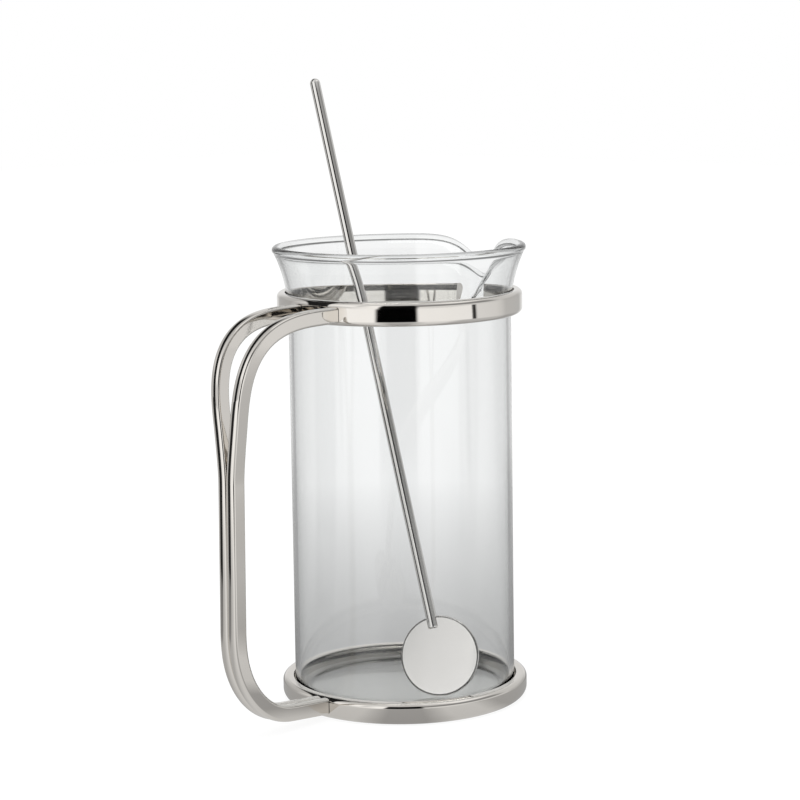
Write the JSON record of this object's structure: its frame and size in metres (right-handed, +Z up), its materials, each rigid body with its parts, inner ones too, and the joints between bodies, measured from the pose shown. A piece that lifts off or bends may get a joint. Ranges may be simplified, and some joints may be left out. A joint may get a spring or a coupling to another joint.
{
  "type": "cocktail pitcher",
  "caption": "Glass pouring pitcher in a metal frame with a forked loop handle, a split collar under the pinched spout and a long stirrer with a disc foot",
  "frame": {"origin": "centre of the foot's flat underside, on the axis of the foot ring, collar and glass body", "axes": "+Z up along the glass's axis; handle at -X, spout at +X; seen from above the stirrer leans out over the rim towards +Y"},
  "size_m": [0.1858, 0.1451, 0.2984],
  "materials": {
    "frame_metal": "polished warm nickel plate",
    "plate_metal": "fine satin metal",
    "clear_glass": "clear blown glass with a fire-polished rim",
    "stirrer_metal": "polished metal"
  },
  "bodies": {
    "frame": {"foot_ring": "frame_metal", "foot_plate": "plate_metal", "collar": "frame_metal", "handle_bar_right": "frame_metal", "handle_bar_left": "frame_metal"},
    "beaker": {"glass_beaker": "clear_glass"},
    "stirrer": {"stirrer_rod": "stirrer_metal", "stirrer_disc": "stirrer_metal"}
  },
  "joints": [
    {"name": "beaker_lift", "type": "slide", "parent": "frame", "child": "beaker", "axis": [0, 0, 1], "range_m": [0, 0.21]},
    {"name": "stirrer_lift", "type": "slide", "parent": "beaker", "child": "stirrer", "axis": [0, 0, 1], "range_m": [0, 0.225]}
  ]
}
